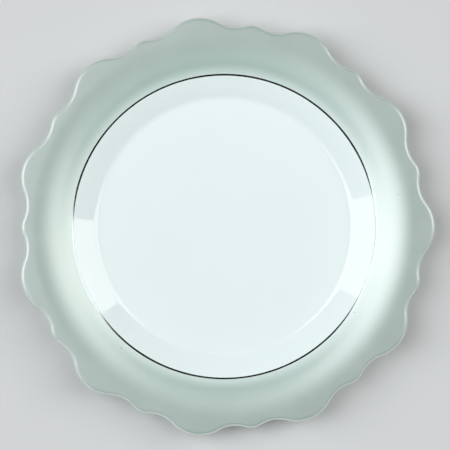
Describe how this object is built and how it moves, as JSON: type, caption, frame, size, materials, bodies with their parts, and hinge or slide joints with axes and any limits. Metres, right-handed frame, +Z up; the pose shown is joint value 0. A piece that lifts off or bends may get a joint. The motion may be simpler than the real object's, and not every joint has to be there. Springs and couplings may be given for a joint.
{
  "type": "scalloped dessert plate",
  "caption": "Round porcelain plate with a scalloped rim of alternating large and small lobes, a white well, a satin grey-green rim and a thin metal line at the verge, for serving dessert.",
  "frame": {"origin": "on the plate's axis, in the plane that the foot ring stands on", "axes": "+Z up along the plate's axis, +X through the tip of one large lobe"},
  "size_m": [0.2065, 0.2082, 0.018],
  "materials": {
    "bare_porcelain": "fired, unglazed, fine and matt",
    "white_glaze": "glossy",
    "satin_rim_glaze": "satin",
    "underside_white_glaze": "glossy",
    "platinum": "burnished metal film"
  },
  "bodies": {
    "root": {"porcelain_body": "bare_porcelain", "well_glaze": "white_glaze", "rim_glaze": "satin_rim_glaze", "underside_glaze": "underside_white_glaze", "recess_glaze": "underside_white_glaze", "platinum_line": "platinum"}
  },
  "joints": []
}
